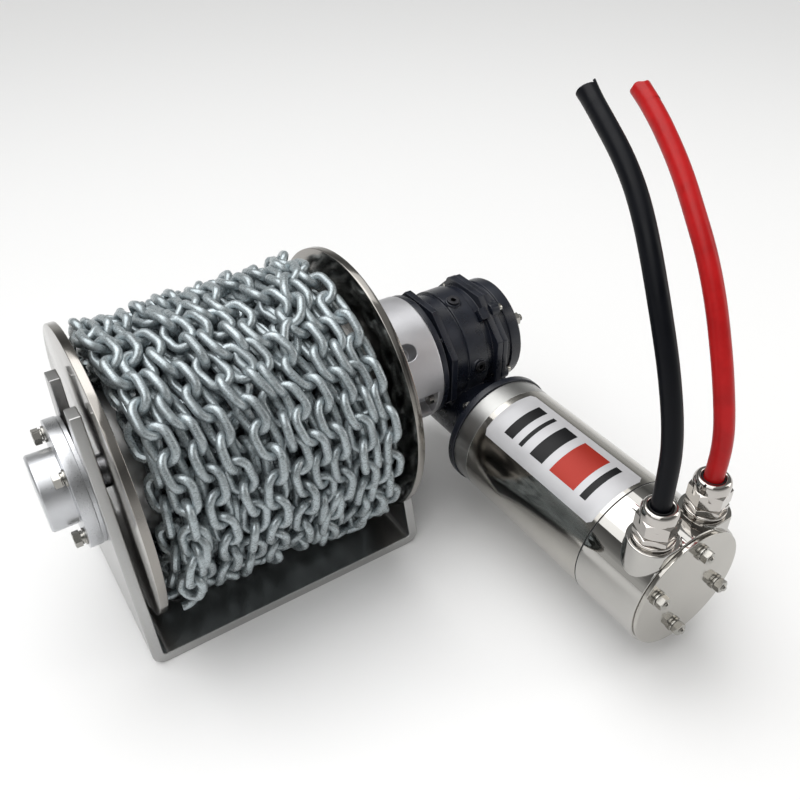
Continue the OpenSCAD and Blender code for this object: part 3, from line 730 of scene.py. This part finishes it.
def make_chain():
    """Three layers of wraps, the loose lengths over them and the chain's cut end."""
    draw = random.Random(11)
    left, right = -drum_inner + 9 * MM, drum_inner - 13 * MM
    wraps, start = 10.2, -120
    # name, radius, steps round a link's bend, sides of its rod, how loose the wraps are
    layers = (
        ("chain_outer", 98.5 * MM, 9, 12, 1.0),
        ("chain_middle", 85.0 * MM, 6, 8, 0.8),
        ("chain_inner", 71.5 * MM, 4, 6, 0.4),
    )
    for index, (name, radius, steps, sides, loose) in enumerate(layers):
        first, last = (left, right) if index % 2 == 0 else (right, left)
        joints = wind(draw, radius, wraps, first, last, start, loose)
        rolls = [math.pi / 4 + r for r in wander(draw, len(joints), 4.0, 0.6)]
        rolls = [r + draw.uniform(-0.3, 0.3) for r in rolls]
        made = lay_links(name, joints, rolls, steps, sides)
        if index == 0:
            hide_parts("chain_pack")
    # lengths that lie loose over the wraps: (degrees, radius, x) in degrees and metres
    loose_routes = {
        "chain_heap": ((40, 0.098, 0.080), (60, 0.1045, 0.074), (92, 0.106, 0.058),
                       (112, 0.1035, 0.040), (124, 0.095, 0.030)),
        "chain_bight": ((190, 0.098, 0.030), (206, 0.104, 0.026), (222, 0.1065, 0.032),
                        (230, 0.1065, 0.048), (222, 0.1065, 0.062), (202, 0.102, 0.068)),
        "chain_tail": ((182, 0.098, -0.070), (200, 0.1035, -0.076), (214, 0.1065, -0.081)),
    }
    for name, route in loose_routes.items():
        joints = spaced(route)
        rolls = [math.pi / 4 + r for r in wander(draw, len(joints), 2.0, 0.25)]
        lay_links(name, joints, rolls, 9, 12)
    cut_link((214, 0.1065, -0.081), (224, 0.1110, -0.086), 0.1)


# ---------------------------------------------------------------- cables

# The centre points from inside each gland to the free end, in millimetres.
BLACK_ROUTE = (
    (179.5, -260, 138), (179.5, -260, 152), (180, -259, 172), (180, -258, 192),
    (180, -254, 211), (179, -249, 230), (179, -242, 249), (180, -233, 267),
    (182, -223, 284), (186, -211, 300), (191, -198, 314), (196, -184, 327),
    (201, -168, 338), (206, -151, 347), (211, -133, 355), (216, -116, 363),
)
RED_ROUTE = (
    (228.5, -260, 138), (228.5, -260, 152), (229, -260, 171), (229, -257, 190),
    (228, -252, 209), (228, -246, 227), (229, -238, 245), (231, -229, 262),
    (233, -219, 278), (236, -207, 293), (240, -193, 306), (245, -179, 318),
    (250, -164, 329), (255, -148, 339), (260, -132, 348), (264, -115, 356),
)
CABLE_D = 13 * MM


def cut_jacket(name, route, slot, facing, rim, flare):
    """The sheared end of a cable's jacket. Angles start at facing; rim gives how far, in
    millimetres, it stands past the cable at an angle, and flare how far it was squashed."""
    base = axis_frame(Vector(route[-1]) * MM, Vector(route[-1]) - Vector(route[-2]), facing)
    sides, wall, sleeve = 60, 1.7 * MM, 14 * MM
    points = []
    for k in range(sides):
        a = 2 * math.pi * k / sides
        top = rim(a) * MM
        column = []
        for i in range(9):
            t = i / 8
            reach = CABLE_D / 2 * (1.006 + flare * t * t * math.cos(2 * a))
            column.append((reach, -sleeve * (1 - t) + top * t))
        reach = column[-1][0]
        column += [(reach - 0.3 * MM, top + 0.2 * MM), (reach - wall, top - 0.2 * MM),
                   (reach - wall - 0.2 * MM, -1 * MM)]
        points += [(r * math.cos(a), r * math.sin(a), z) for r, z in column]
    mesh = placed((points, grid_faces(sides, 12, True, True)), base).mesh(name, 50)
    return add_piece(name, mesh, "frame", slot)


def strand_ends(name, route):
    """The copper strands of a cable, cut off just inside its jacket."""
    base = axis_frame(Vector(route[-1]) * MM, Vector(route[-1]) - Vector(route[-2]))
    draw = random.Random(5)
    strand, shape = 0.66 * MM, Shape()
    for ring in range(4):
        count = max(1, 6 * ring)
        for k in range(count):
            a = 2 * math.pi * k / count + 0.3 * ring
            r, top = 2 * strand * ring, draw.uniform(0.2, 1.0) * MM
            foot = Matrix.Translation((r * math.cos(a), r * math.sin(a), -1 * MM))
            rod = turned([(0, 0), (strand, 0), (strand, top + 1 * MM), (0, top + 1 * MM)], 8)
            shape.add(*rod, base @ foot)
    return add_piece(name, shape.mesh(name), "frame", "copper_bars")


def make_cable(name, route, slot, facing, rim, flare):
    """One cable as a smooth curve through its route's points."""
    data = bpy.data.curves.new(name, "CURVE")
    data.dimensions = "3D"
    data.bevel_depth = CABLE_D / 2
    data.bevel_resolution = 8
    data.resolution_u = 8
    data.use_fill_caps = True
    line = data.splines.new("NURBS")
    line.points.add(len(route) - 1)
    for point, place in zip(line.points, route):
        point.co = (*(Vector(place) * MM), 1)
    line.order_u = 4
    line.use_endpoint_u = True
    cable = linked(name, data)
    data.materials.append(finish(slot))
    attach(cable, "frame")
    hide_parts("cable_" + name.split("_")[1])
    jacket_end = cut_jacket(f"{name}_cut_jacket", route, slot, facing, rim, flare)
    strands = strand_ends(f"{name}_strands", route)


def torn_rim(a):
    """A nearly square cut that left one sliver standing at angle 0."""
    away = (a + math.pi) % (2 * math.pi) - math.pi
    return 1.3 - 0.6 * math.cos(a) + 6.0 * math.exp(-((away / 0.24) ** 2))


def wavy_rim(a):
    """An uneven cut, with no sliver."""
    return 1.4 + 0.7 * math.sin(2 * a + 0.8) + 0.5 * math.sin(5 * a)


# ---------------------------------------------------------------- bolts, nuts and washers


def make_housing_bolts():
    """Hex bolts with a spring washer and a flat washer round the bearing housing."""
    flat_low, flat_high = extent("housing_washers", "x")
    spring_low, _ = extent("housing_spring_washers", "x")
    head_low, _ = extent("housing_bolts", "x")
    outwards = axis_frame(drum_axis, (-1, 0, 0), (0, 1, 0))
    shank_r, shank_end = 3 * MM, -flat_high - 12 * MM
    head = hexagonal(10.5 * MM, -spring_low, -head_low, 0, chamfer_low=False)
    shank = turned([(0, shank_end), (shank_r, shank_end),
                    (shank_r, -spring_low), (0, -spring_low)], 24)
    ring = washer(6.2 * MM, 3.2 * MM, -flat_high, -flat_low)
    split = spring_washer(5.2 * MM, 3.1 * MM, -flat_low, -spring_low)
    for node, name, parts in (
        ("housing_bolts", "hex_bolts", (head, shank)),
        ("housing_washers", "flat_washers", (ring,)),
        ("housing_spring_washers", "spring_washers", (split,)),
    ):
        piece_for(node, name, arrayed(parts, outwards, node).mesh(name))


def make_end_fasteners():
    """Threaded studs, washers and nuts that hold the motor's end plate."""
    face, tip = -extent("end_plate", "y")[0], -extent("end_studs", "y")[0]
    nut_high, nut_low = (-place for place in extent("end_nuts", "y"))
    stud = threaded(2.5 * MM, face - 18 * MM, tip, 0.8 * MM)
    for node, name, part in (
        ("end_studs", "end_plate_studs", stud),
        ("end_nuts", "end_plate_nuts", hexagonal(9 * MM, nut_low, nut_high, 2.3 * MM)),
        ("end_washers", "end_plate_washers", washer(5.8 * MM, 2.7 * MM, face, nut_low)),
    ):
        piece_for(node, name, arrayed((part,), motor_frame(0), node).mesh(name))


def make_gearbox_fasteners():
    """Studs and nuts on the gearbox cover, and the socket screws round its edge."""
    low, high = extent("gearbox_nuts", "x")
    _, tip = extent("gearbox_studs", "x")
    screw_low, screw_high = extent("cover_screws", "x")
    seat, shank, head, socket = screw_high - 4.5 * MM, 2.2 * MM, 3.2 * MM, 1.7 * MM
    socket_floor = screw_high - 2.5 * MM
    outline = [(0, screw_low), (shank, screw_low), (shank, seat), (head, seat),
               (head, screw_high), (socket, screw_high),
               (socket - 0.2 * MM, socket_floor), (0, socket_floor)]
    for node, name, part in (
        ("gearbox_studs", "cover_studs", threaded(3 * MM, low - 20 * MM, tip)),
        ("gearbox_nuts", "cover_nuts", hexagonal(10 * MM, low, high, 2.8 * MM)),
        ("cover_screws", "cover_socket_screws", turned(softened(outline, 0.3 * MM, 2), 30)),
    ):
        piece_for(node, name, arrayed((part,), drum_frame(0), node).mesh(name))


# ---------------------------------------------------------------- drum and bearing


def make_flanges():
    """The drum's two polished discs, each with a broken edge."""
    bore = 12.6 * MM
    for side, node in (("left", "drum_flange_left"), ("right", "drum_flange_right")):
        low, high = extent(node, "x")
        outline = [(bore, low), (flange_radius, low), (flange_radius, high), (bore, high)]
        name = f"flange_disc_{side}"
        disc = turned(softened(outline, 0.7 * MM, 3), 160)
        piece_for(node, name, placed(disc, drum_frame(0)).mesh(name))


def make_bearing_housing():
    """The round cap and flange of the left bearing, with softly broken edges."""
    outer, inner = extent("bearing_housing", "x")
    step, inside = outer + 19 * MM, outer + 7 * MM
    flange, cap, bore = half_size("bearing_housing").z, 28.5 * MM, 23.55 * MM
    outline = [(0, outer), (cap - 1.2 * MM, outer), (cap, outer + 1.4 * MM),
               (cap, step - 0.4 * MM), (cap + 0.6 * MM, step), (flange, step),
               (flange, inner), (bore, inner), (bore, inside), (0, inside)]
    body = placed(turned(softened(outline, 0.5 * MM, 3), 128), drum_frame(0))
    piece_for("bearing_housing", "bearing_cap", body.mesh("bearing_cap"))


# ---------------------------------------------------------------- motor


def make_glands():
    """Two nickel-plated cable glands: a seat with its hexagon, a domed nut and the seal."""
    nut_low, top = extent("gland_nuts", "z")
    _, boss_top = extent("end_cover", "z")
    bodies, nuts, seals = Shape(), Shape(), Shape()
    flats, bore, seat_r, neck_r, dome_r = 25 * MM, 7 * MM, 14 * MM, 11.2 * MM, 12.6 * MM
    nut_bore, lip_in, lip_out = 7.9 * MM, 6.55 * MM, 7.85 * MM
    hex_low, neck_top, dome_low = boss_top + 2 * MM, nut_low + 2 * MM, nut_low + 6 * MM
    lip_low, lip_top = top - 12 * MM, top - 1.2 * MM
    collar = softened([(bore, boss_top - 6 * MM), (seat_r, boss_top),
                       (seat_r + 0.4 * MM, boss_top + 1 * MM), (seat_r, hex_low),
                       (bore, hex_low)], 0.5 * MM)
    neck = [(bore, hex_low), (neck_r, hex_low), (neck_r, neck_top), (bore, neck_top)]
    dome = [(nut_bore, dome_low), (nut_bore, top - 0.8 * MM), (8.8 * MM, top), (10.4 * MM, top),
            (dome_r - 0.6 * MM, top - 1.6 * MM), (dome_r, top - 4 * MM), (dome_r, dome_low)]
    lip = [(lip_in, lip_low), (lip_in, lip_top), (7.2 * MM, lip_top + 0.6 * MM),
           (lip_out, lip_top), (lip_out, lip_low)]
    turn = Matrix.Rotation(math.radians(12), 4, "Z")
    for middle in solid_centres("gland_nuts"):
        base = Matrix.Translation((middle.x, middle.y, 0)) @ turn
        bodies.add(*turned(collar), base)
        bodies.add(*turned(neck), base)
        bodies.add(*hexagonal(flats, hex_low, nut_low - 0.6 * MM, bore), base)
        nuts.add(*hexagonal(flats, nut_low, nut_low + 12 * MM, 8 * MM), base)
        nuts.add(*turned(softened(dome, 1.0 * MM)), base)
        seals.add(*turned(softened(lip, 0.3 * MM, 2)), base)
    for node, name, shape in (
        ("gland_bodies", "gland_seats", bodies),
        ("gland_nuts", "gland_dome_nuts", nuts),
        ("gland_seals", "gland_lips", seals),
    ):
        piece_for(node, name, shape.mesh(name))


def make_label():
    """A foil label with plain printed bars, curved round the motor's tube."""
    near, far = -98 * MM, -218 * MM
    low, high = 76, 141  # degrees round the tube
    corner = 3.0  # radius in millimetres
    rows, columns = 40, 26
    length = near - far
    points = []
    for i in range(rows + 1):
        v = length * i / rows
        inset = corner - min(corner, (min(v, length - v)) / MM)
        trim = corner - math.sqrt(max(0.0, corner ** 2 - inset ** 2))
        cut = math.degrees(trim * MM / motor_radius)
        for j in range(columns + 1):
            a = low + cut + (high - low - 2 * cut) * j / columns
            rise = 0 if i in (0, rows) or j in (0, columns) else 0.35 * MM
            r = motor_radius + rise
            points.append((r * math.cos(math.radians(a)), r * math.sin(math.radians(a)), v))
    sheet = (points, grid_faces(rows + 1, columns + 1, False, False))
    mesh = placed(sheet, motor_frame(near)).mesh("motor_label", 60)
    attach(smooth_object("motor_label", mesh, foil()), "frame")


def foil():
    """Silver foil printed with plain black and red bars across it."""
    s = Surface("label_foil", (0.5, 0.5, 0.51), 0.2, 0.35, Specular_IOR_Level=0.22)
    cloud = s.noise(30, 3, 0.5)
    colour = s.blend(s.span(cloud, 0, 1), (0.46, 0.46, 0.475), (0.53, 0.53, 0.545))
    split = s.node("SeparateXYZ", {0: s.place})

    def between(socket, low, high):
        over = s.maths("GREATER_THAN", split.outputs[socket], low)
        return s.maths("MULTIPLY", over, s.maths("LESS_THAN", split.outputs[socket], high))

    black, red = (0.005, 0.005, 0.006), (0.32, 0.022, 0.012)
    width = between("X", motor_axis.x - 0.030, motor_axis.x + 0.004)
    # lowest and highest Y of each bar in metres, and its ink
    bars = ((-0.124, -0.114, black), (-0.135, -0.131, black), (-0.158, -0.144, black),
            (-0.192, -0.166, red), (-0.204, -0.198, black))
    for low, high, ink in bars:
        colour = s.blend(s.maths("MULTIPLY", width, between("Y", low, high)), colour, ink)
    s.set("Base Color", colour)
    s.set("Roughness", s.span(cloud, 0.30, 0.42))
    return s.material


def make_seam_shade_gasket():
    """A thin black ring between the motor's tube and its end cover: painted shade for the seam,
    made as a thin rubber seal.
    """
    _, seam = extent("end_cover", "y")
    outer, low, high = motor_radius + 0.35 * MM, -0.5 * MM, 0.3 * MM
    inner = outer - 4 * MM
    outline = [(inner, low), (outer, low), (outer, high), (inner, high)]
    mesh = placed(turned(outline, 128), motor_frame(seam)).mesh("seam_shade_gasket")
    # painted shade: this black ring stands for the shadow in the seam between tube and cover
    add_piece("seam_shade_gasket", mesh, "frame", "black_rubber")


# ---------------------------------------------------------------- floor


def make_floor():
    """The pale floor that the winch stands on in the renders."""
    mesh = bpy.data.meshes.new("floor")
    reach = 4.0
    corners = [(-reach, -reach, 0), (reach, -reach, 0), (reach, reach, 0), (-reach, reach, 0)]
    mesh.from_pydata(corners, [], [(0, 1, 2, 3)])
    floor = linked("floor", mesh)
    mesh.materials.append(Surface("floor", (0.84, 0.84, 0.84), 0, 0.65).material)


# ---------------------------------------------------------------- the scene

make_camera()
make_cable("power_black", BLACK_ROUTE, "black_pvc", (0.52, -0.70, 0.20), torn_rim, 0.10)
make_cable("power_red", RED_ROUTE, "red_pvc", (0.84, -0.54, 0), wavy_rim, 0.05)
make_lights()
make_floor()
dress_nodes()
make_chain()
make_flanges()
make_bearing_housing()
make_housing_bolts()
make_end_fasteners()
make_gearbox_fasteners()
make_glands()
make_label()
# a black ring that paints the shade in the seam between the motor's tube and its end cover
make_seam_shade_gasket()
# node, name of its piece, width of its rounded edges in millimetres
ROUNDED = (
    ("u_frame", "bent_frame", 0.9),
    ("backing_ring", "backing_disc", 0.3),
    ("gearbox_adapter", "adapter_casting", 0.8),
    ("gearbox_housing", "gearbox_casting", 0.7),
    ("gearbox_cover", "gearbox_lid", 0.8),
    ("worm_end_cap", "worm_cap", 0.7),
    ("motor_flange", "motor_mount", 0.6),
    ("motor_ring", "motor_collar", 0.6),
    ("end_cover", "motor_end_cover", 0.9),
    ("end_plate", "motor_end_plate", 0.5),
    ("oil_plugs", "oil_plug_heads", 0.4),
)
for node, name, width in ROUNDED:
    rounded_off(node, name, width * MM)
